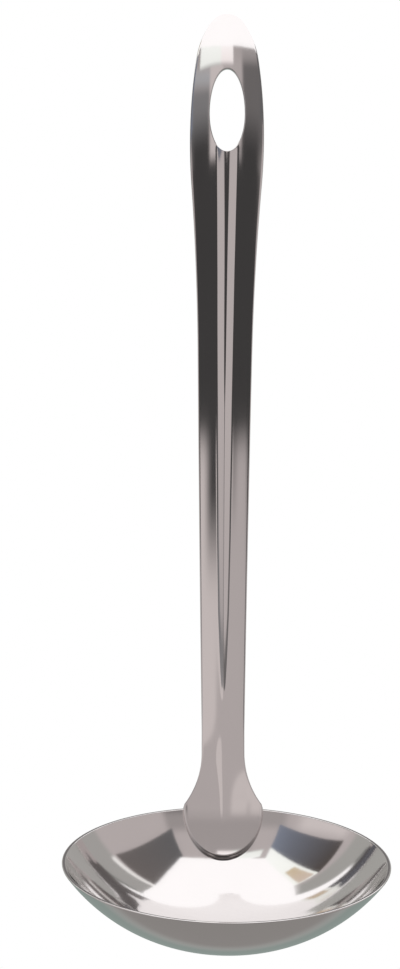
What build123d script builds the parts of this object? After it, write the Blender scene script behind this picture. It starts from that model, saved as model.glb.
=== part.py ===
from build123d import *
import math
import os

# A soup ladle pressed from stainless steel sheet, in millimetres.
# A round bowl carries a long handle. The handle's lower end flares into a tongue, which lies
# on the inside of the bowl's back wall and is spot welded there.
# The pieces are drawn with the rim level on Z = 0, the bowl's axis on Z and the handle at +Y.
# At the end all of them are turned together, so that the ladle hangs plumb from its eye.

# Bowl
rim_diameter = 96.0
bowl_depth = 23.8
bowl_sheet = 1.0
bowl_floor_radius = 68.0
bowl_floor_width = 32.0
rim_edge_chamfer = 0.3
wall_steps = 5

# Handle, side view: its back leaves the rim in line with the bowl's wall, bows forward in two
# arcs, bends back again behind the eye and curls at its tip. Each arc has a length, and the
# lean in degrees from the bowl's axis that the handle has reached at the arc's upper end.
handle_sheet = 1.5
lower_bow_length = 120.0
lower_bow_lean = 20.0
upper_bow_length = 58.0
upper_bow_lean = 11.0
back_bend_length = 48.0
back_bend_lean = 23.0
tip_curl_length = 28.3
tip_curl_lean = 41.0

# Handle, front view: widths, and how far up the handle from the rim each is found
shoulder_width = 24.4
flare_length = 17.0
neck_width = 13.1
neck_height = 24.0
taper_width = 17.2
taper_height = 145.0
eye_width = 23.4
eye_height = 212.0
eye_side_radius = 190.0
crest_height = 239.0
nose_radius = 6.0

# Handle, across: the blade is crowned forward, and the tongue is hollow like the bowl's wall
crown_radius = 40.0
crown_start_height = 32.0
crown_steps = 4
bend_steps = 3

# Tongue inside the bowl
tongue_length = 16.7
tongue_steps = 6
seat_clearance = 0.05

# Hanging eye: two half ellipses on one width
hole_width = 11.1
hole_height = 220.0
hole_rise = 14.5
hole_drop = 12.5

# Long rib, pressed forward from below the eye and fading out above the neck
rib_width = 6.3
rib_rise = 1.3
rib_head_height = 205.4
rib_middle_width = 4.8
rib_middle_rise = 1.0
rib_middle_height = 160.0
rib_low_width = 3.7
rib_low_rise = 0.55
rib_low_height = 53.0
rib_end_height = 33.0
rib_step = 12.0

# Short bead, pressed forward on the neck, with a round head and a long point on the tongue
bead_width = 4.4
bead_rise = 0.7
bead_head_height = 18.6
bead_low_width = 2.0
bead_low_rise = 0.35
bead_low_height = 4.0
bead_end_height = -14.0
bead_end_radius = 0.4

# Spot welds: fused nuggets, half in each sheet
weld_diameter = 4.0
weld_length = 1.2
weld_pair_spacing = 12.0
weld_pair_depth = 4.5
weld_low_depth = 11.0

# How far cutting blocks and blanks run past what they cut
overrun = 3.0

# How closely facets follow the pieces when they are weighed
weighing_tolerance = 0.004
weighing_turn = 0.05


def touching_radius(point, normal, centre, radius):
    """Radius of the arc that crosses a point square to the normal and touches a circle.

    The circle lies inside the arc, or outside it where its radius is given below zero.
    """
    away = point - centre
    return (away.dot(away) - radius**2) / (2 * (away.dot(normal) - radius))


floor_turn = math.asin(bowl_floor_width / 2 / bowl_floor_radius)
floor_centre = Vector(0, bowl_floor_radius - bowl_depth)
floor_way = Vector(math.sin(floor_turn), -math.cos(floor_turn))


def wall_arc():
    """Centre and radius of the wall's outer arc, from the floor's arc to the level rim."""
    joint = floor_centre + floor_way * bowl_floor_radius
    rim = Vector(rim_diameter / 2, 0)
    across_joint = rim - joint
    radius = across_joint.dot(across_joint) / (-2 * across_joint.dot(floor_way))
    return joint - floor_way * radius, radius


wall_centre, wall_radius = wall_arc()
seat_radius = wall_radius - bowl_sheet
seat_rim = wall_centre.X + math.sqrt(seat_radius**2 - wall_centre.Y**2)
seat_lean = math.atan2(wall_centre.Y, seat_rim - wall_centre.X)
handle_arcs = (
    (lower_bow_length, math.radians(lower_bow_lean)),
    (upper_bow_length, math.radians(upper_bow_lean)),
    (back_bend_length, math.radians(back_bend_lean)),
    (tip_curl_length, math.radians(tip_curl_lean)),
)
handle_length = sum(length for length, lean in handle_arcs)


def back_line(height):
    """Y, Z and lean of the handle's back at a height along it, which is below zero in the bowl."""
    if height < 0:
        lean = seat_lean - height / seat_radius
        y = wall_centre.X + seat_radius * math.cos(lean)
        return y, wall_centre.Y - seat_radius * math.sin(lean), lean
    y, z, lean = seat_rim, 0, seat_lean
    for length, next_lean in handle_arcs:
        run = min(height, length)
        radius = length / (next_lean - lean)
        end_lean = lean + run / radius
        y += radius * (math.cos(lean) - math.cos(end_lean))
        z += radius * (math.sin(end_lean) - math.sin(lean))
        height -= run
        lean = end_lean
        if not height:
            break
    return y + height * math.sin(lean), z + height * math.cos(lean), lean


def across(height):
    """Plane square to the handle: X to the right, Y forward out of its front."""
    y, z, lean = back_line(height)
    return Plane((0, y, z), x_dir=(1, 0, 0), z_dir=(0, -math.sin(lean), -math.cos(lean)))


def facing(height):
    """Plane along the handle's back: X to the right, Y up the handle, Z forward."""
    y, z, lean = back_line(height)
    return Plane((0, y, z), x_dir=(1, 0, 0), z_dir=(0, -math.cos(lean), math.sin(lean)))


cut_plane = facing(hole_height)


def up_cut_plane(height):
    """Where a height along the handle falls on the plane that the blank is cut along."""
    y, z, lean = back_line(height)
    return cut_plane.to_local_coords(Vector(0, y, z)).Y


def crown_bend(height):
    """Curvature across the handle, above zero where the edges stand forward, as in the bowl."""
    hollow = math.cos(seat_lean) / seat_rim
    share = min(max(height / crown_start_height, 0), 1)
    return hollow - (hollow + 1 / crown_radius) * share**2 * (3 - 2 * share)


def ring(back, front):
    """Closed wire from a back and a front curve that both run from left to right."""
    return Wire([back, Line(back @ 1, front @ 1), front, Line(front @ 0, back @ 0)])


def blade_section(height, back_level, front_level):
    """Section square to the handle, between two levels above its back. Its faces are parabolas."""
    half_width = max(eye_width, shoulder_width) / 2 + overrun
    edge = crown_bend(height) * half_width**2 / 2
    back, front = (
        Bezier((-half_width, level + edge), (0, level - edge), (half_width, level + edge))
        for level in (back_level, front_level)
    )
    return across(height) * ring(back, front)


def seat_section(depth, back_level, front_level):
    """Level section inside the bowl, between two levels above the seat. Its faces are arcs."""
    half_width = max(eye_width, shoulder_width) / 2 + overrun
    curves = []
    for level in (back_level + seat_clearance, front_level):
        radius = seat_radius - level
        reach = wall_centre.X + math.sqrt(radius**2 - (wall_centre.Y + depth) ** 2)
        turn = math.degrees(math.asin(half_width / reach))
        curves.append(CenterArc((0, 0), reach, 90 + turn, -2 * turn))
    return Pos(0, 0, -depth) * ring(*curves)


def sheet_between(back_level, front_level):
    """The handle's bent and crowned sheet between two levels, wider than what is cut from it."""
    lowest = overrun - back_line(-tongue_length)[1]
    depths = [lowest * step / tongue_steps for step in range(tongue_steps, -1, -1)]
    heights = [crown_start_height * step / crown_steps for step in range(1, crown_steps + 1)]
    low = crown_start_height
    joints = [sum(length for length, lean in handle_arcs[: i + 1]) for i in range(len(handle_arcs))]
    joints[-1] += overrun
    for joint in joints:
        heights += [low + (joint - low) * step / bend_steps for step in range(1, bend_steps + 1)]
        low = joint
    wires = [seat_section(depth, back_level, front_level) for depth in depths]
    wires += [blade_section(height, back_level, front_level) for height in heights]
    return Solid.make_loft(wires)


def rib_circle(width, rise):
    """Radius of a rib of this width and rise, which is a slice of a circle."""
    return ((width / 2) ** 2 + rise**2) / (2 * rise)


def rib_body(rows, sheet):
    """Round bar that is sunk in the sheet so far that its crest stands out, with a ball head.

    A row gives a height along the handle, the bar's radius and how far its crest rises.
    """
    wires = []
    for low, high in zip(rows, rows[1:]):
        steps = math.ceil((high[0] - low[0]) / rib_step)
        for step in range(1 if wires else 0, steps + 1):
            share = step / steps
            height, radius, rise = (a + (b - a) * share for a, b in zip(low, high))
            place = across(height) * Pos(0, handle_sheet + rise - radius)
            wires.append(place * Wire([CenterArc((0, 0), radius - sheet, 0, 360)]))
    height, radius, rise = rows[-1]
    head = across(height) * Pos(0, handle_sheet + rise - radius) * Sphere(radius - sheet, -90, 0)
    return Solid.make_loft(wires) + head


def rib_rows():
    """Rows of the long rib, from where it has faded out to its head below the eye."""
    head = (rib_head_height, rib_circle(rib_width, rib_rise), rib_rise)
    middle_radius = rib_circle(rib_middle_width, rib_middle_rise)
    middle = (rib_middle_height, middle_radius, rib_middle_rise)
    low = (rib_low_height, rib_circle(rib_low_width, rib_low_rise), rib_low_rise)
    end_rise = -rib_low_rise * overrun / (rib_low_height - rib_end_height)
    return [(rib_end_height - overrun, low[1], end_rise), low, middle, head]


def bead_rows():
    """Rows of the neck's bead, from its point on the tongue to its head."""
    head = (bead_head_height, rib_circle(bead_width, bead_rise), bead_rise)
    low = (bead_low_height, rib_circle(bead_low_width, bead_low_rise), bead_low_rise)
    return [(bead_end_height, bead_end_radius, 0), low, head]


def bead_hollow_rows():
    """Rows of the hollow behind the bead, from where the bead is wide enough to have one."""
    tip, low, head = bead_rows()
    share = (handle_sheet + bead_end_radius - low[1]) / (head[1] - low[1])
    return [[a + (b - a) * share for a, b in zip(low, head)], head]


def blank_side():
    """Right side of the blade's front outline, from its shoulder at the rim to the nose."""
    shoulder = Vector(shoulder_width / 2, up_cut_plane(0))
    neck = Vector(neck_width / 2, up_cut_plane(flare_length))
    straight = Vector(neck_width / 2, up_cut_plane(neck_height))
    taper = Vector(taper_width / 2, up_cut_plane(taper_height))
    taper_way = (taper - straight).normalized()
    taper_side = Vector(taper_way.Y, -taper_way.X)
    eye_centre = Vector(eye_width / 2 - eye_side_radius, up_cut_plane(eye_height))
    hollow = touching_radius(taper, -taper_side, eye_centre, -eye_side_radius)
    hollow_centre = taper + taper_side * hollow
    joint = eye_centre + (hollow_centre - eye_centre).normalized() * eye_side_radius
    crest_turn = math.asin((up_cut_plane(crest_height) - eye_centre.Y) / eye_side_radius)
    crest_side = Vector(math.cos(crest_turn), math.sin(crest_turn))
    crest_way = Vector(-crest_side.Y, crest_side.X)
    crest = eye_centre + crest_side * eye_side_radius
    nose_centre = Vector(0, up_cut_plane(handle_length) - nose_radius)
    crest_radius = touching_radius(crest, crest_side, nose_centre, nose_radius)
    crest_centre = crest - crest_side * crest_radius
    nose = nose_centre + (nose_centre - crest_centre).normalized() * nose_radius
    tip = nose_centre + Vector(0, nose_radius)
    return [
        TangentArc(neck, shoulder, tangent=(0, -1)),
        Line(neck, straight),
        Line(straight, taper),
        TangentArc(taper, joint, tangent=taper_way),
        TangentArc(crest, joint, tangent=-crest_way),
        TangentArc(crest, nose, tangent=crest_way),
        TangentArc(tip, nose, tangent=(1, 0)),
    ]


def blank_outline():
    """Front outline of the blade, which runs down past the tongue at the shoulders' width."""
    side = blank_side()
    shoulder, tip = side[0] @ 1, side[-1] @ 0
    low = shoulder - Vector(0, tongue_length + overrun)
    middle = Vector(0, low.Y)
    half = make_face(Curve() + side + [Line(shoulder, low), Line(low, middle), Line(middle, tip)])
    return half + mirror(half, Plane.YZ)


def hole_outline():
    """The eye: two half ellipses that share its widest line."""
    upper = EllipticalCenterArc((0, 0), hole_width / 2, hole_rise, start_angle=0, arc_size=180)
    lower = EllipticalCenterArc((0, 0), hole_width / 2, hole_drop, start_angle=180, arc_size=180)
    return make_face(Curve() + [upper, lower])


def weld_places():
    """Places on the seat at each weld, with Z square to the sheets."""
    turn = math.degrees(weld_pair_spacing / 2 / back_line(-weld_pair_depth)[0])
    places = [(-weld_pair_depth, -turn), (-weld_pair_depth, turn), (-weld_low_depth, 0)]
    return [Rot(Z=angle) * facing(height).location for height, angle in places]


def make_welds():
    nugget = Cylinder(weld_diameter / 2, weld_length)
    return [place * nugget for place in weld_places()]


def dish(sheet):
    """All that lies inside one skin of the bowl: its rounded floor and, above it, its wall."""
    turn = math.degrees(floor_turn)
    radius = wall_radius - sheet
    rise = 90 - turn - math.degrees(math.asin(wall_centre.Y / radius))
    bend = CenterArc(wall_centre, radius, turn - 90, rise)
    points = [bend @ (step / wall_steps) for step in range(wall_steps + 1)]
    wall = Solid.make_loft(Pos(0, 0, p.Y) * Wire([CenterArc((0, 0), p.X, 0, 360)]) for p in points)
    floor = CenterArc(floor_centre, bowl_floor_radius - sheet, -90, turn)
    middle = Vector(0, points[0].Y)
    half = make_face(Curve() + [floor, Line(floor @ 1, middle), Line(middle, floor @ 0)])
    return wall + revolve(Plane.XZ * half, Axis.Z)


def make_bowl(welds):
    """A dish of even sheet with a level rim, whose edges are broken."""
    bowl = dish(0) - dish(bowl_sheet)
    rims = bowl.edges().sort_by(Axis.Z)[-2:]
    return chamfer(rims, rim_edge_chamfer) - welds


def make_handle(welds):
    """The pressed sheet with its rib and bead, cut to its outline, with the eye pierced."""
    handle = sheet_between(0, handle_sheet)
    cover = sheet_between(handle_sheet / 2, handle_sheet + 2 * rib_rise)
    handle += rib_body(rib_rows(), 0) & cover
    handle += rib_body(bead_rows(), 0) & cover
    handle -= rib_body(rib_rows(), handle_sheet)
    handle -= rib_body(bead_hollow_rows(), handle_sheet)
    reach = (facing(0).origin - facing(handle_length).origin).length
    handle &= extrude(cut_plane * blank_outline(), amount=reach / 2, both=True)
    handle -= extrude(facing(hole_height) * hole_outline(), amount=hole_width, both=True)
    side = 2 * shoulder_width
    under_rim = Pos(0, seat_rim, -side / 2) * Box(side, side, side)
    tongue_plane = facing(-tongue_length / 2)
    rim_line = tongue_plane.to_local_coords(facing(0).origin).Y
    tongue = Pos(0, rim_line) * Ellipse(shoulder_width / 2, tongue_length)
    handle -= under_rim - extrude(tongue_plane * tongue, amount=shoulder_width, both=True)
    return handle - welds


def weigh(piece):
    """Volume of a piece, and the sum of its facets' volumes times their centres."""
    corners, facets = piece.tessellate(weighing_tolerance, weighing_turn)
    volume, moment = 0, Vector()
    for facet in facets:
        a, b, c = (corners[corner] for corner in facet)
        share = a.dot(b.cross(c)) / 6
        volume += share
        moment += (a + b + c) * (share / 4)
    return volume, moment


def hang(pieces):
    """Turns the pieces to hang plumb, with the origin where the hook bears in the eye."""
    y, z, lean = back_line(hole_height + hole_rise)
    middle = handle_sheet / 2
    hook = Vector(0, y - middle * math.cos(lean), z + middle * math.sin(lean))
    volumes, moments = zip(*(weigh(piece) for piece in pieces))
    pull = sum(moments, Vector()) / sum(volumes) - hook
    angle = math.degrees(math.atan2(-pull.Y, -pull.Z))
    print("volumes", [round(volume) for volume in volumes], "hang angle", round(angle, 3))
    return [Rot(X=angle) * Pos(-hook) * piece for piece in pieces]


def main():
    welds = make_welds()
    bowl = make_bowl(welds)
    handle = make_handle(welds)
    pieces = hang([bowl, handle, Compound(children=welds)])
    os.makedirs("parts", exist_ok=True)
    for name, piece in zip(("bowl", "handle", "spot_welds"), pieces):
        export_step(piece, f"parts/{name}.step")


main()
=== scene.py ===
import math

import bmesh
import bpy
import numpy as np
from mathutils import Matrix, Vector


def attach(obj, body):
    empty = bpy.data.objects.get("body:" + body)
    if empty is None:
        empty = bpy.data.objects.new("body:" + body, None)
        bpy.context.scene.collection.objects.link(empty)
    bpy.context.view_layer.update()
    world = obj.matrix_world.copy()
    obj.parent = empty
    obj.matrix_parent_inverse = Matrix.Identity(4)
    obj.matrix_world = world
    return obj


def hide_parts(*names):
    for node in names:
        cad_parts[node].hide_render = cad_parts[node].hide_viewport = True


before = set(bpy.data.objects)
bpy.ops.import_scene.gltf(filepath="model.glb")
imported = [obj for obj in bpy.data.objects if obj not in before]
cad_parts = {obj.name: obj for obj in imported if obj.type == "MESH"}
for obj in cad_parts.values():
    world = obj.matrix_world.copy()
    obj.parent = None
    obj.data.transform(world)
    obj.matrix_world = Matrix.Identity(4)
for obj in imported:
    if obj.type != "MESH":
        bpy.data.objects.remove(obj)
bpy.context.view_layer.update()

# Sizes are in millimetres, as the ladle is drawn: rim level on Z = 0, bowl's axis on Z, handle at
# +Y. The frame holds it hanging plumb, so each finished point is turned about X and moved.
MM = 0.001
hang_angle = math.radians(27.984)

# Bowl
rim_diameter = 96.0
bowl_depth = 23.8
bowl_sheet = 1.0
bowl_floor_radius = 68.0
bowl_floor_width = 32.0
rim_outer_rounding = 0.66
rim_inner_rounding = 0.22

# Handle, side view: arcs by length and by the lean in degrees that each one ends at
handle_sheet = 1.5
handle_arcs = ((120.0, 20.0), (58.0, 11.0), (48.0, 23.0), (28.3, 41.0))
handle_length = sum(length for length, lean in handle_arcs)
seat_clearance = 0.05

# Handle, front view: widths and the heights along it where they are found
shoulder_width = 24.4
flare_length = 17.0
neck_width = 13.1
neck_height = 24.0
taper_width = 17.2
taper_height = 145.0
eye_width = 23.4
eye_height = 212.0
eye_side_radius = 190.0
crest_height = 239.0
nose_radius = 6.0
tongue_length = 16.7

# Handle, across: crowned in the middle stretch, more at the eye
crown_radius = 54.0
eye_crown_radius = 34.0
crown_start_height = 32.0
eye_crown_start_height = 140.0
eye_crown_height = 185.0

# Eye
hole_width = 11.1
hole_height = 220.0
hole_rise = 14.5
hole_drop = 12.5

# Pressed rib and bead, from foot to head: height, width, rise and roundness of the crest
rib_rows = (
    (33.0, 1.2, 0.0, 0.05), (46.0, 2.0, 0.33, 0.03), (62.0, 3.1, 0.6, 0.02),
    (85.0, 3.9, 0.78, 0.02), (113.0, 4.5, 0.9, 0.02), (127.0, 4.7, 0.94, 0.04),
    (139.0, 4.9, 0.98, 0.2), (155.0, 5.2, 1.04, 0.34), (170.0, 5.4, 1.08, 0.48),
    (186.0, 5.8, 1.14, 0.7), (208.4, 6.5, 1.2, 1.1),
)
bead_rows = ((-14.0, 0.8, 0.0, 0.4), (4.0, 2.0, 0.10, 0.6), (14.0, 4.0, 0.17, 1.2))

# How far their heads are drawn out, where 1 is a half-round head, and how soft their foot is
# where they rise by the last value or more
rib_head_length = 1.0
bead_head_length = 4.5
press_softness = 0.06
full_softness_rise = 0.4

# Tongue: its sides thin out from this far beside the middle and from this height above the rim,
# to this share of the sheet at the edges
tongue_flat_reach = 5.5
tongue_thinning_height = 9.0
tongue_edge_share = 0.7

# The outline's corner at the shoulders: how far up and down from it the outline is softened, and
# how far up and down each point's average reaches
shoulder_reach = 1.6
shoulder_softness = 0.9

# Below the first height the blade settles onto the bowl's wall, and above the second its edges
# turn square to the blade at the eye
wall_fade_height = 6.0
square_cut_height = 150.0

# The blade's rounded edges, as a radius and the most of the thickness that the radius may take
edge_radius = 0.3
edge_share = 0.4
edge_steps = 6

# Spacing of the meshes' rows and columns: the handle's rows lie closer at the tongue's lower end,
# and its columns towards the middle
row_length = 0.7
end_row_length = 0.02
end_rows_reach = 8.0
hole_row_gap = 0.2
hole_rows = 64
half_columns = 40
column_ease = 1.6
outline_step = 0.3
outline_end_reach = 14.0
outline_end_steps = 120
search_halvings = 60
bowl_turns = 360
bowl_floor_rows = 28
bowl_wall_rows = 90
bowl_lip_steps = 8
merge_distance = 1e-4
smallest_edge = 1e-5


def arc_through(point, normal, centre, radius):
    """Radius of the arc that crosses a point square to the normal and touches a circle."""
    away = point - centre
    return (away.dot(away) - radius**2) / (2 * (away.dot(normal) - radius))


# The bowl's profile: a floor arc and a wall arc that runs on from it to the rim. The seat is the
# wall's inner face, which the tongue lies on.
floor_turn = math.asin(bowl_floor_width / 2 / bowl_floor_radius)
floor_centre = Vector((0, bowl_floor_radius - bowl_depth))
floor_way = Vector((math.sin(floor_turn), -math.cos(floor_turn)))
wall_joint = floor_centre + floor_way * bowl_floor_radius
across_joint = Vector((rim_diameter / 2, 0)) - wall_joint
wall_radius = across_joint.dot(across_joint) / (-2 * across_joint.dot(floor_way))
wall_centre = wall_joint - floor_way * wall_radius
seat_radius = wall_radius - bowl_sheet
seat_rim = wall_centre.x + math.sqrt(seat_radius**2 - wall_centre.y**2)
seat_lean = math.atan2(wall_centre.y, seat_rim - wall_centre.x)
hollow_bend = math.cos(seat_lean) / seat_rim


def back_line(height):
    """Y, Z and lean of the handle's back at a height along it, below zero inside the bowl."""
    if height < 0:
        lean = seat_lean - height / seat_radius
        y = wall_centre.x + seat_radius * math.cos(lean)
        return y, wall_centre.y - seat_radius * math.sin(lean), lean
    y, z, lean = seat_rim, 0.0, seat_lean
    for length, degrees in handle_arcs:
        run = min(height, length)
        radius = length / (math.radians(degrees) - lean)
        end = lean + run / radius
        y += radius * (math.cos(lean) - math.cos(end))
        z += radius * (math.sin(end) - math.sin(lean))
        height -= run
        lean = end
        if height <= 0:
            break
    return y + height * math.sin(lean), z + height * math.cos(lean), lean


hole_y, hole_z, hole_lean = back_line(hole_height)
hook_y, hook_z, hook_lean = back_line(hole_height + hole_rise)
hook = Vector((
    0,
    hook_y - handle_sheet / 2 * math.cos(hook_lean),
    hook_z + handle_sheet / 2 * math.sin(hook_lean),
))
to_frame = Matrix.Rotation(hang_angle, 4, "X") @ Matrix.Translation(-hook)


def smooth_share(value, low, high):
    """Zero below one value, one above another, and a smooth step between them."""
    share = min(max((value - low) / (high - low), 0.0), 1.0)
    return share * share * (3 - 2 * share)


def crown_bend(height):
    """Curvature across the handle: hollow like the bowl's wall at the rim, crowned above it."""
    if height < 0:
        y, z, lean = back_line(height)
        return math.cos(lean) / y
    crown = 1 / crown_radius
    crown += (1 / eye_crown_radius - crown) * smooth_share(
        height, eye_crown_start_height, eye_crown_height
    )
    return hollow_bend - (hollow_bend + crown) * smooth_share(height, 0, crown_start_height)


def onto_wall(point, level):
    """The point moved square to the bowl's inner wall until it stands at a level above it."""
    out = math.hypot(point.x, point.y)
    way = Vector((out - wall_centre.x, point.z - wall_centre.y)).normalized()
    reach = wall_centre.x + (seat_radius - level) * way.x
    depth = wall_centre.y + (seat_radius - level) * way.y
    return Vector((point.x * reach / out, point.y * reach / out, depth))


def on_back(height, x, bend):
    """The point of the back at a height and x, bent across, and the way that its front faces."""
    y, z, lean = back_line(height)
    forward = Vector((0, -math.cos(lean), math.sin(lean)))
    return Vector((x, y, z)) + forward * (bend * x * x / 2), forward


def place(height, x, level):
    """The point at a height along the handle, x to the right and a level above its back."""
    foot = height
    if height > square_cut_height:
        lean = back_line(height)[2]
        cut = math.tan(lean - hole_lean) * smooth_share(height, square_cut_height, hole_height)
        foot = height - level * cut
    spot, forward = on_back(foot, x, crown_bend(height))
    if height <= 0:
        return onto_wall(spot, level + seat_clearance)
    point = spot + forward * level
    if height < wall_fade_height:
        at_rim = on_back(0, x, hollow_bend)[0]
        settled = onto_wall(at_rim, seat_clearance) - at_rim
        point += settled * (1 - smooth_share(height, 0, wall_fade_height))
    return point


def between_rows(rows, height):
    """The sizes in a table of rows at a height between two of them."""
    for (low, *start), (high, *end) in zip(rows, rows[1:]):
        if height <= high:
            share = max(0.0, (height - low) / (high - low))
            return [a + (b - a) * share for a, b in zip(start, end)]
    return rows[-1][1:]


def pressed(rows, head_length, height, x):
    """How far a pressed rib stands above the blade: straight sides, round crest, soft foot."""
    width, rise, crest = between_rows(rows, height)
    if height < rows[0][0] or rise <= 0:
        return 0.0
    away = math.hypot(x, max(0.0, height - rows[-1][0]) / head_length)
    fall = (math.hypot(away, crest) - crest) / (math.hypot(width / 2, crest) - crest)
    step = rise * (1 - fall)
    softness = press_softness * min(1.0, rise / full_softness_rise)
    return (step + math.sqrt(step * step + 4 * softness * softness)) / 2


def front_level(height, x):
    """The front face above the back: the sheet, thinned at the tongue's sides, rib and bead."""
    rib = pressed(rib_rows, rib_head_length, height, x)
    bead = pressed(bead_rows, bead_head_length, height, x)
    thinned = smooth_share(abs(x), tongue_flat_reach, shoulder_width / 2)
    thinned *= smooth_share(-height, -tongue_thinning_height, 0)
    return handle_sheet * (1 - (1 - tongue_edge_share) * thinned) + rib + bead


def back_level(height, x):
    """The back face above the back's own line: the rib's hollow."""
    return pressed(rib_rows, rib_head_length, height, x)


def up_cut_plane(height):
    """Where a height falls on the plane that the blank's outline is drawn on."""
    y, z = back_line(height)[:2]
    return (y - hole_y) * math.sin(hole_lean) + (z - hole_z) * math.cos(hole_lean)


def straight_side(point, way):
    """Half the blade's width along a straight stretch, from where it is found on the cut plane."""
    return lambda up: point.x + way.x / way.y * (up - point.y)


def arc_side(centre, radius, side):
    """Half the blade's width along an arc: side 1 bulges outwards, side -1 curves inwards."""
    return lambda up: centre.x + side * math.sqrt(max(0.0, radius**2 - (up - centre.y) ** 2))


def blank_stretches():
    """Stretches of the blade's right side from rim to nose: where each ends, and its width."""
    shoulder = Vector((shoulder_width / 2, up_cut_plane(0)))
    neck = Vector((neck_width / 2, up_cut_plane(flare_length)))
    straight = Vector((neck_width / 2, up_cut_plane(neck_height)))
    taper = Vector((taper_width / 2, up_cut_plane(taper_height)))
    flare_step = shoulder - neck
    flare_radius = flare_step.length_squared / (2 * flare_step.x)
    way = (taper - straight).normalized()
    side = Vector((way.y, -way.x))
    eye = Vector((eye_width / 2 - eye_side_radius, up_cut_plane(eye_height)))
    hollow = arc_through(taper, -side, eye, -eye_side_radius)
    hollow_centre = taper + side * hollow
    joint = eye + (hollow_centre - eye).normalized() * eye_side_radius
    turn = math.asin((up_cut_plane(crest_height) - eye.y) / eye_side_radius)
    crest_side = Vector((math.cos(turn), math.sin(turn)))
    crest = eye + crest_side * eye_side_radius
    nose = Vector((0, up_cut_plane(handle_length) - nose_radius))
    crest_radius = arc_through(crest, crest_side, nose, nose_radius)
    crest_centre = crest - crest_side * crest_radius
    nose_joint = nose + (nose - crest_centre).normalized() * nose_radius
    return [
        (neck.y, arc_side(neck + Vector((flare_radius, 0)), flare_radius, -1)),
        (straight.y, straight_side(straight, Vector((0, 1)))),
        (taper.y, straight_side(straight, way)),
        (joint.y, arc_side(hollow_centre, hollow, -1)),
        (crest.y, arc_side(eye, eye_side_radius, 1)),
        (nose_joint.y, arc_side(crest_centre, crest_radius, 1)),
        (nose.y + nose_radius, arc_side(nose, nose_radius, 1)),
    ]


side_stretches = blank_stretches()


def tongue_half_width(height):
    """Half the tongue's width, an ellipse drawn along the lean of the tongue's middle."""
    lean = back_line(-tongue_length / 2)[2]
    y, z = back_line(height)[:2]
    down = (seat_rim - y) * math.sin(lean) - z * math.cos(lean)
    return shoulder_width / 2 * math.sqrt(max(0.0, 1 - (down / tongue_length) ** 2))


def half_width(height):
    """Half the blade's width at a height along it."""
    if height < 0:
        return tongue_half_width(height)
    up = up_cut_plane(height)
    for top, width_at in side_stretches:
        if up <= top:
            break
    return max(0.0, width_at(up))


def lowest_height():
    """The height at which the tongue's outline closes."""
    low, high = -2 * tongue_length, 0.0
    for _ in range(search_halvings):
        middle = (low + high) / 2
        low, high = (low, middle) if half_width(middle) > 0 else (middle, high)
    return high


def outline():
    """Points (x, height) up the right side, closer together towards both closed ends."""
    low, high = lowest_height(), handle_length
    turns = [step / outline_end_steps * math.pi / 2 for step in range(outline_end_steps + 1)]
    heights = {low + outline_end_reach * (1 - math.cos(turn)) for turn in turns}
    heights |= {high - outline_end_reach * (1 - math.cos(turn)) for turn in turns}
    span = high - low - 2 * outline_end_reach
    steps = round(span / outline_step)
    heights |= {low + outline_end_reach + span * step / steps for step in range(steps)}
    points = np.array([(half_width(height), height) for height in sorted(heights)])
    points[0, 0] = points[-1, 0] = 0
    soft = points.copy()
    for index in np.nonzero(np.abs(points[:, 1]) < shoulder_reach)[0]:
        near = np.abs(points[:, 1] - points[index, 1]) < shoulder_softness
        soft[index, 0] = points[near, 0].mean()
    return soft


def hole_ring():
    """Points (x, height) up the right half of the eye's edge."""
    ring = []
    for step in range(hole_rows + 1):
        turn = math.pi * step / hole_rows
        up = -math.cos(turn)
        reach = hole_drop if up < 0 else hole_rise
        ring.append((hole_width / 2 * math.sin(turn), hole_height + reach * up))
    return np.array(ring)


def inset(points, distance):
    """A line of points moved to its left, square to its stretches."""
    steps = np.gradient(points, axis=0)
    steps[0] = (1, 0)
    steps[-1] = (-1, 0)
    steps /= np.linalg.norm(steps, axis=1)[:, None]
    inwards = np.stack([-steps[:, 1], steps[:, 0]], 1)
    return points + inwards * distance


# A rounded edge in steps from the face to the edge: shares of its radius inwards and down
edge_turns = [step / edge_steps * math.pi / 2 for step in range(edge_steps + 1)]
edge_in_shares = [1 - math.sin(turn) for turn in edge_turns]
edge_down_shares = [1 - math.cos(turn) for turn in edge_turns]


def edge_strip(rings):
    """Rows of points over a rounded edge, from its front ring to its back ring."""
    rows = []
    for index in range(len(rings[0])):
        front_row = []
        back_row = []
        for down, ring in zip(edge_down_shares, rings):
            x, height = ring[index]
            front = front_level(height, x)
            back = back_level(height, x)
            radius = min(edge_radius, (front - back) * edge_share)
            front_row.append(place(height, x, front - down * radius))
            back_row.append(place(height, x, back + down * radius))
        rows.append(front_row + back_row[::-1])
    return rows


def row_heights(edge_heights, hole_heights):
    """Heights of the faces' rows: spaced along the edge, but the eye's own beside the eye."""
    heights = [edge_heights[0]]
    for height in edge_heights[1:]:
        near_end = height < edge_heights[0] + end_rows_reach
        if height >= hole_heights[0] - hole_row_gap:
            break
        if height - heights[-1] > (end_row_length if near_end else row_length):
            heights.append(height)
    above = [height for height in edge_heights if height > hole_heights[-1] + hole_row_gap]
    return heights + list(hole_heights) + above


def resampled(ring, places):
    """Points of a ring at places between its own, counted from its first."""
    own = np.arange(len(ring))
    return np.stack([np.interp(places, own, ring[:, axis]) for axis in (0, 1)], 1)


def face_rows(heights, starts, ends, side, level):
    """Rows of points over half of one face, between the middle or the eye and the edge."""
    rows = []
    for height, start, end in zip(heights, starts, ends):
        row = []
        for column in range(half_columns + 1):
            share = (column / half_columns) ** column_ease
            x = side * (start + (end - start) * share)
            row.append(place(height, x, level(height, x)))
        rows.append(row)
    return rows


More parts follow.
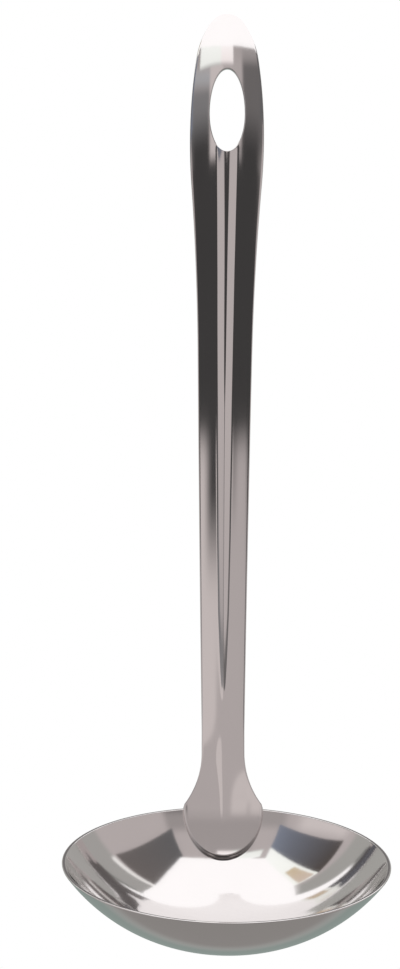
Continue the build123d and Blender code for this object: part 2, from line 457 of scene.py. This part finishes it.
def grid(mesh, rows):
    """Adds a grid of quads between rows of points."""
    rings = [[mesh.verts.new(point) for point in row] for row in rows]
    for low, high in zip(rings, rings[1:]):
        for corners in zip(low, low[1:], high[1:], high):
            mesh.faces.new(corners)


def add_piece(name, mesh, material):
    """Puts a finished mesh into the scene as an object."""
    data = bpy.data.meshes.new(name)
    mesh.to_mesh(data)
    mesh.free()
    data.materials.append(material)
    piece = bpy.data.objects.new(name, data)
    bpy.context.scene.collection.objects.link(piece)
    return piece


def finished(name, mesh, material):
    """Makes a smooth object in the frame from a mesh drawn in millimetres."""
    bmesh.ops.remove_doubles(mesh, verts=mesh.verts, dist=merge_distance)
    bmesh.ops.dissolve_degenerate(mesh, edges=mesh.edges, dist=smallest_edge)
    bmesh.ops.recalc_face_normals(mesh, faces=mesh.faces)
    for face in mesh.faces:
        face.smooth = True
    mesh.transform(Matrix.Scale(MM, 4) @ to_frame)
    return add_piece(name, mesh, material)


def make_handle(material):
    """The blade: front and back faces in rows, a rounded rim all round and round the eye."""
    points = outline()
    rings = [inset(points, share * edge_radius) for share in edge_in_shares]
    hole_rings = [inset(hole_ring(), -share * edge_radius) for share in edge_in_shares]
    edge_heights = rings[0][:, 1]
    hole_edge = hole_rings[0]
    heights = row_heights(edge_heights, hole_edge[:, 1])
    places = np.interp(heights, edge_heights, np.arange(len(edge_heights)))
    rings = [resampled(ring, places) for ring in rings]
    starts = np.zeros(len(heights))
    first = heights.index(hole_edge[0, 1])
    starts[first:first + len(hole_edge)] = hole_edge[:, 0]
    mesh = bmesh.new()
    for side in (-1, 1):
        for edge in (rings, hole_rings):
            grid(mesh, edge_strip([ring * (side, 1) for ring in edge]))
        for level in (front_level, back_level):
            grid(mesh, face_rows(heights, starts, rings[0][:, 0], side, level))
    return finished("pressed_handle", mesh, material)


def arc_points(centre, radius, start, end, count):
    """Points along an arc of the bowl's profile."""
    return [
        (centre[0] + radius * math.cos(turn), centre[1] + radius * math.sin(turn))
        for turn in np.linspace(start, end, count)
    ]


def skin_profile(depth):
    """The bowl's profile from its middle to its rim, at a depth inside the outer skin."""
    radius = wall_radius - depth
    floor_end = floor_turn - math.pi / 2
    rim_turn = -math.asin(wall_centre.y / radius)
    floor = (floor_centre, bowl_floor_radius - depth, -math.pi / 2, floor_end)
    wall = (wall_centre, radius, floor_end, rim_turn)
    return arc_points(*floor, bowl_floor_rows) + arc_points(*wall, bowl_wall_rows)[1:]


def towards(corner, other, distance):
    """A place at a distance from a corner on the way to another."""
    return tuple(Vector(corner) + (Vector(other) - Vector(corner)).normalized() * distance)


def trimmed(skin, distance):
    """The skin without its last stretch, so that the rim's rounding starts there."""
    end = Vector(skin[-1])
    kept = [point for point in skin if (Vector(point) - end).length > distance]
    return kept + [towards(end, kept[-1], distance)]


def rounded(start, corner, end):
    """A soft corner between two points, pulled towards the sharp one."""
    a, b, c = Vector(start), Vector(corner), Vector(end)
    line = []
    for step in range(1, bowl_lip_steps + 1):
        t = step / bowl_lip_steps
        line.append(tuple(a * (1 - t) ** 2 + b * (2 * t * (1 - t)) + c * t * t))
    return line


def make_bowl(material):
    """The dish, turned from the profile of its two skins and its rounded rim."""
    outer, inner = skin_profile(0), skin_profile(bowl_sheet)
    outer_corner, inner_corner = outer[-1], inner[-1]
    outer = trimmed(outer, rim_outer_rounding)
    inner = trimmed(inner, rim_inner_rounding)
    outer_lip = towards(outer_corner, inner_corner, rim_outer_rounding)
    inner_lip = towards(inner_corner, outer_corner, rim_inner_rounding)
    line = outer + rounded(outer[-1], outer_corner, outer_lip)
    line += rounded(inner_lip, inner_corner, inner[-1]) + inner[::-1]
    mesh = bmesh.new()
    rows = []
    for step in range(bowl_turns + 1):
        turn = 2 * math.pi * step / bowl_turns
        rows.append([Vector((r * math.cos(turn), r * math.sin(turn), z)) for r, z in line])
    grid(mesh, rows)
    return finished("pressed_bowl", mesh, material)


def fill(tree, socket, value):
    """Links a node's output to a socket, or sets the socket to a plain value."""
    if hasattr(value, "is_output"):
        tree.links.new(value, socket)
    else:
        socket.default_value = value


def node(tree, kind, **inputs):
    """Adds a node and fills its inputs by name."""
    made = tree.nodes.new(kind)
    for name, value in inputs.items():
        fill(tree, made.inputs[name.replace("_", " ")], value)
    return made


def calculated(tree, operation, *values):
    """The result of a math node."""
    made = tree.nodes.new("ShaderNodeMath")
    made.operation = operation
    for socket, value in zip(made.inputs, values):
        fill(tree, socket, value)
    return made.outputs[0]


def ramp(tree, value, start, end, first=0.0, last=1.0, kind="LINEAR"):
    """A value carried over from one range to another, and held at the ends."""
    made = node(
        tree, "ShaderNodeMapRange", Value=value,
        From_Min=start, From_Max=end, To_Min=first, To_Max=last,
    )
    made.interpolation_type = kind
    return made.outputs[0]


def blended(tree, share, first, second, label=""):
    """A mix of two colours, each a plain colour or a node's output."""
    mix = tree.nodes.new("ShaderNodeMix")
    mix.data_type = "RGBA"
    mix.label = label
    fill(tree, mix.inputs["Factor"], share)
    for name, colour in (("A", first), ("B", second)):
        fill(tree, mix.inputs[name], (*colour, 1) if isinstance(colour, tuple) else colour)
    return mix.outputs["Result"]


# Polished steel: its colour and roughness vary between these with light smudges, and its fine
# polishing lines run round the bowl and along the handle. Scales are in cycles per metre.
steel_low = (0.765, 0.745, 0.74)
steel_high = (0.805, 0.785, 0.78)
smooth_roughness = 0.05
worn_roughness = 0.11
round_polish_scales = (3500, 3500, 1)
long_polish_scales = (2600, 60, 60)
polish_detail = 3.0
polish_strength = 0.06
polish_depth = 0.01
smudge_scale = 45.0
smudge_detail = 4.0


def steel(name, around_bowl):
    """Polished stainless steel: faint polishing lines, light smudges, nearly a mirror."""
    material = bpy.data.materials.new(name)
    material.use_nodes = True
    tree = material.node_tree
    shader = tree.nodes["Principled BSDF"]
    shader.inputs["Metallic"].default_value = 1.0
    coordinates = tree.nodes.new("ShaderNodeTexCoord").outputs["Object"]
    turned = node(
        tree, "ShaderNodeMapping", Vector=coordinates,
        Location=hook * MM, Rotation=(-hang_angle, 0, 0),
    ).outputs[0]
    lines, scales = turned, long_polish_scales
    if around_bowl:
        x, y, z = node(tree, "ShaderNodeSeparateXYZ", Vector=turned).outputs
        squares = [calculated(tree, "MULTIPLY", value, value) for value in (x, y)]
        radius = calculated(tree, "SQRT", calculated(tree, "ADD", *squares))
        lines = node(tree, "ShaderNodeCombineXYZ", X=radius, Y=z, Z=0.0).outputs[0]
        scales = round_polish_scales
    drawn_out = node(tree, "ShaderNodeMapping", Vector=lines, Scale=scales).outputs[0]
    polish = node(tree, "ShaderNodeTexNoise", Vector=drawn_out, Scale=1.0, Detail=polish_detail)
    smudges = node(
        tree, "ShaderNodeTexNoise", Vector=turned, Scale=smudge_scale, Detail=smudge_detail
    ).outputs["Fac"]
    fill(tree, shader.inputs["Base Color"], blended(tree, smudges, steel_low, steel_high))
    roughness = ramp(tree, smudges, 0, 1, smooth_roughness, worn_roughness)
    fill(tree, shader.inputs["Roughness"], roughness)
    bump = node(
        tree, "ShaderNodeBump", Height=polish.outputs["Fac"],
        Strength=polish_strength, Distance=polish_depth * MM,
    )
    fill(tree, shader.inputs["Normal"], bump.outputs[0])
    return material


# The studio's far surroundings, as the polished steel sees them over its plain walls: azimuth and
# elevation limits in degrees, softness of both, and colour. Azimuth 0 is towards the camera and
# 90 towards +X. A band with a limit beyond the sky's own has no edge there.
white = (1.27, 1.25, 1.255)
dark = (0.055, 0.053, 0.053)
thin_line = (0.25, 0.25, 0.24)
back_grey = (0.20, 0.19, 0.19)
back_green = (0.285, 0.335, 0.315)
walls = (0.55, 0.50, 0.495)
all_left, all_right, all_down, all_up = -400, 400, -100, 100
surroundings = (
    ("left_far_wall", -90, -50, 15, 37, 6, 4, (0.72, 0.66, 0.65)),
    ("left_side", all_left, -99, -10, 66, 3, 3, (0.43, 0.425, 0.405)),
    ("right_side", 99, all_right, -10, 66, 3, 3, (0.43, 0.42, 0.405)),
    ("below", all_left, all_right, all_down, -24, 1, 8, (0.30, 0.286, 0.275)),
    ("left_below_back", all_left, -110, -24, 8, 9, 9, back_green),
    ("right_below_back", 110, all_right, -24, 8, 9, 9, back_green),
    ("overhead", all_left, all_right, 66, all_up, 1, 3, white),
    ("left_strip", -131, -117, 43, 70, 1.5, 2, white),
    ("left_line", -119, -117, 35, 41, 0.6, 0.6, thin_line),
    ("left_low_line", -127, -124.5, 32, 40, 0.6, 0.6, (0.33, 0.33, 0.32)),
    ("right_strip", 122, 132, 41, 70, 1.2, 1.2, white),
    ("right_window", 131, 153, 51, 70, 2, 2, white),
    ("right_line", 119.2, 121, 39, 56, 0.6, 0.6, thin_line),
    ("right_gap", 98, 102.5, 44, 64, 0.8, 0.8, (1.0, 0.98, 0.96)),
    ("left_high_wall", -40, -14, 22, 36, 4, 4, (0.41, 0.38, 0.375)),
    ("left_mid_wall", -40, -14, 15, 22, 4, 3, (0.45, 0.45, 0.465)),
    ("left_low_wall", -40, -14, 2, 15, 4, 4, (0.23, 0.225, 0.23)),
    ("right_high_wall", 17, 40, 27, 38, 3, 4, (0.38, 0.35, 0.345)),
    ("right_low_wall", 17, 40, 2, 27, 3, 4, (0.17, 0.16, 0.16)),
    ("side_shade", -36, 36, -24, 6.5, 5, 4, dark),
    ("left_notch", -17, -3, 0, 30, 1.5, 2, (0.67, 0.61, 0.60)),
    ("right_notch", -3, 17, 0, 30, 1.5, 2, (0.51, 0.465, 0.46)),
    ("front_wall", -19, 19, 30, 60, 4, 6, (0.41, 0.375, 0.37)),
    ("front_shade", -36, 36, -24, 0, 5, 1, dark),
    ("left_dome", -10, 1, -10, 7, 3, 4, dark),
    ("right_dome", -1, 9, -10, 4, 3, 3, dark),
    ("right_back_shade", 168, all_right, 38, 60, 3, 3, back_grey),
    ("left_back_shade", all_left, -168, 38, 60, 3, 3, back_grey),
)

# The near surroundings, cards in millimetres round the hanging ladle. The ceiling card's corners
# are (x, y). The side cards stand to the right, 1, and to the left, -1, where one lies a little
# nearer than the panel behind it: corners (y, z), and colours of their back and front ends. The
# front cards stand before the ladle: left, right, foot and top, and colours of top and foot.
ceiling_height = 154.0
ceiling_card = (
    (-137, -198), (-84, -217), (0, -229), (95, -215), (150, -198), (166, -190), (178, -80),
    (184, 40), (196, 115), (196, 250), (-30, 250), (-84, 166), (-138, 131), (-166, 16),
    (-159, -50), (-145, -139),
)
side_distance = 210.0
side_cards = (
    (1, ((30, -13), (-280, 38), (-268, 271), (45, 271)), (0.17, 0.15, 0.145), (0.14, 0.14, 0.145)),
    (-1, ((11, -53), (-290, 20), (-300, 206), (32, 86)), (0.085, 0.07, 0.06), (0.24, 0.27, 0.34)),
    (-1, ((32, 87), (-300, 207), (-300, 350), (32, 300)), (1.15, 1.18, 1.12), (1.2, 1.23, 1.2)),
    (-0.99, ((25, 102), (-80, 149), (-89, 237), (27, 212)), (0.74, 0.61, 0.52), (0.72, 0.59, 0.40)),
)
front_distance = 229.0
front_cards = (
    (-130, -24, 104, 116, (1.08, 1.11, 1.07), (0.55, 0.54, 0.53)),
    (-130, -24, 116, 178, (1.15, 1.18, 1.15), (1.08, 1.11, 1.07)),
    (-24, 34, 104, 116, (1.10, 1.03, 1.02), (0.55, 0.50, 0.50)),
    (-24, 34, 116, 178, (1.24, 1.20, 1.20), (1.10, 1.03, 1.02)),
)


def card(name, corners, high_colour, low_colour, axis):
    """A glowing card that only the steel sees, graded along an axis from high to low end."""
    material = bpy.data.materials.new(name)
    material.use_nodes = True
    tree = material.node_tree
    tree.nodes.clear()
    spot = tree.nodes.new("ShaderNodeTexCoord").outputs["Object"]
    along = node(tree, "ShaderNodeSeparateXYZ", Vector=spot).outputs[axis]
    reach = [corner[axis] * MM for corner in corners]
    colour = blended(tree, ramp(tree, along, max(reach), min(reach)), high_colour, low_colour)
    glow = node(tree, "ShaderNodeEmission", Color=colour, Strength=1.0)
    node(tree, "ShaderNodeOutputMaterial", Surface=glow.outputs[0])
    mesh = bmesh.new()
    mesh.faces.new([mesh.verts.new(Vector(corner) * MM) for corner in corners])
    piece = add_piece(name, mesh, material)
    piece.visible_camera = False
    piece.visible_diffuse = False
    piece.visible_shadow = False


def make_cards():
    """The ceiling, the cards before the ladle and the panels on both sides of it."""
    y_axis, z_axis = 1, 2
    corners = [(x, y, ceiling_height) for x, y in ceiling_card]
    card("ceiling_card", corners, white, white, y_axis)
    for number, (start, end, foot, top, *colours) in enumerate(front_cards):
        corners = [(start, foot), (end, foot), (end, top), (start, top)]
        corners = [(x, -front_distance, z) for x, z in corners]
        card(f"front_card_{number}", corners, *colours, z_axis)
    for number, (side, corners, *colours) in enumerate(side_cards):
        corners = [(side * side_distance, y, z) for y, z in corners]
        card(f"side_card_{number}", corners, *colours, y_axis)


def banded(tree, value, low, high, soft):
    """One between two limits of a value, zero outside them, with soft edges."""
    rise = ramp(tree, value, low - soft, low + soft, kind="SMOOTHSTEP")
    fall = ramp(tree, value, high - soft, high + soft, 1.0, 0.0, "SMOOTHSTEP")
    return calculated(tree, "MULTIPLY", rise, fall)


def make_world():
    """White to the camera, and the plain studio's surroundings to the steel."""
    world = bpy.data.worlds.new("studio")
    bpy.context.scene.world = world
    world.use_nodes = True
    tree = world.node_tree
    way = tree.nodes.new("ShaderNodeTexCoord").outputs["Generated"]
    x, y, z = node(tree, "ShaderNodeSeparateXYZ", Vector=way).outputs
    forwards = calculated(tree, "MULTIPLY", y, -1.0)
    azimuth = calculated(tree, "DEGREES", calculated(tree, "ARCTAN2", x, forwards))
    elevation = calculated(tree, "DEGREES", calculated(tree, "ARCSINE", z))
    colour = walls
    for name, start, end, foot, top, soft_across, soft_up, tint in surroundings:
        across = banded(tree, azimuth, start, end, soft_across)
        share = calculated(tree, "MULTIPLY", across, banded(tree, elevation, foot, top, soft_up))
        colour = blended(tree, share, colour, tint, name)
    seen = tree.nodes.new("ShaderNodeLightPath").outputs["Is Camera Ray"]
    background = tree.nodes["Background"]
    fill(tree, background.inputs["Color"], blended(tree, seen, colour, (1, 1, 1)))
    background.inputs["Strength"].default_value = 1.0


# Camera, fitted to the photograph: distance to the bowl, elevation of its axis above the rim's
# plane, turn about the bowl's axis, roll, and the photograph's size, the rim's width in it and
# the place of the rim's centre in it, in pixels
camera_distance = 900.0
camera_elevation = math.radians(13.55)
camera_turn = math.radians(-1.05)
camera_roll = math.radians(-0.83)
image_width = 400
image_height = 969
rim_width_in_image = 330.6
rim_centre_in_image = (226.5, 862.0)
sensor_height = 24.0
nearest_seen = 50.0
furthest_seen = 50000.0


def make_camera():
    """The camera, at the photograph's angle and distance."""
    focal = rim_width_in_image / rim_diameter * camera_distance
    axis = Vector((0, math.cos(camera_elevation), -math.sin(camera_elevation)))
    roll = Matrix.Rotation(camera_roll, 3, axis)
    up = roll @ Vector((0, math.sin(camera_elevation), math.cos(camera_elevation)))
    right = roll @ Vector((1, 0, 0))
    aside = (rim_centre_in_image[0] - image_width / 2) / focal * camera_distance
    below = (rim_centre_in_image[1] - image_height / 2) / focal * camera_distance
    spot = up * below - right * aside - axis * camera_distance
    turn = Matrix.Rotation(camera_turn, 3, "Z")
    spot, axis, up, right = (turn @ vector for vector in (spot, axis, up, right))
    data = bpy.data.cameras.new("camera")
    data.sensor_fit = "VERTICAL"
    data.sensor_height = sensor_height
    data.lens = focal / image_height * sensor_height
    data.clip_start = nearest_seen * MM
    data.clip_end = furthest_seen * MM
    camera = bpy.data.objects.new("camera", data)
    bpy.context.scene.collection.objects.link(camera)
    facing = Matrix((right, up, -axis)).transposed().to_4x4()
    placed = to_frame @ Matrix.Translation(spot) @ facing
    placed.translation *= MM
    camera.matrix_world = placed
    bpy.context.scene.camera = camera


# The floor, well below the hanging ladle, and the lamp, which shines from its place to its aim
floor_drop = 620.0
floor_size = 12000.0
floor_squares = 8
floor_colour = (0.86, 0.86, 0.855)
floor_roughness = 0.9
lamp_place = Vector((300.0, -600.0, 1500.0))
lamp_aim = Vector((0.0, 0.0, -200.0))
lamp_width = 1600.0
lamp_watts = 18


def make_floor():
    """A plain pale floor."""
    material = bpy.data.materials.new("pale_floor")
    material.use_nodes = True
    shader = material.node_tree.nodes["Principled BSDF"]
    shader.inputs["Base Color"].default_value = (*floor_colour, 1)
    shader.inputs["Roughness"].default_value = floor_roughness
    mesh = bmesh.new()
    bmesh.ops.create_grid(
        mesh, x_segments=floor_squares, y_segments=floor_squares, size=floor_size / 2 * MM
    )
    floor = add_piece("floor", mesh, material)
    floor.location.z = -floor_drop * MM
    floor.visible_glossy = False


def make_lamp():
    """A broad soft lamp above and in front."""
    data = bpy.data.lights.new("soft_lamp", "AREA")
    data.shape = "DISK"
    data.size = lamp_width * MM
    data.energy = lamp_watts
    lamp = bpy.data.objects.new("soft_lamp", data)
    lamp.location = lamp_place * MM
    lamp.rotation_euler = (lamp_place - lamp_aim).to_track_quat("Z", "Y").to_euler()
    lamp.visible_glossy = False
    bpy.context.scene.collection.objects.link(lamp)


make_camera()
make_world()
make_cards()
make_floor()
make_lamp()
handle_steel = steel("polished_handle_steel", False)
bowl_steel = steel("polished_bowl_steel", True)
for piece, cad_node, slot in (
    (make_bowl(bowl_steel), "bowl", "bowl_steel"),
    (make_handle(handle_steel), "handle", "handle_steel"),
):
    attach(piece, "root")
    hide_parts(cad_node)
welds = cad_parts["spot_welds"]
welds.data.materials.clear()
welds.data.materials.append(bowl_steel)

bpy.context.scene.view_settings.view_transform = "Standard"
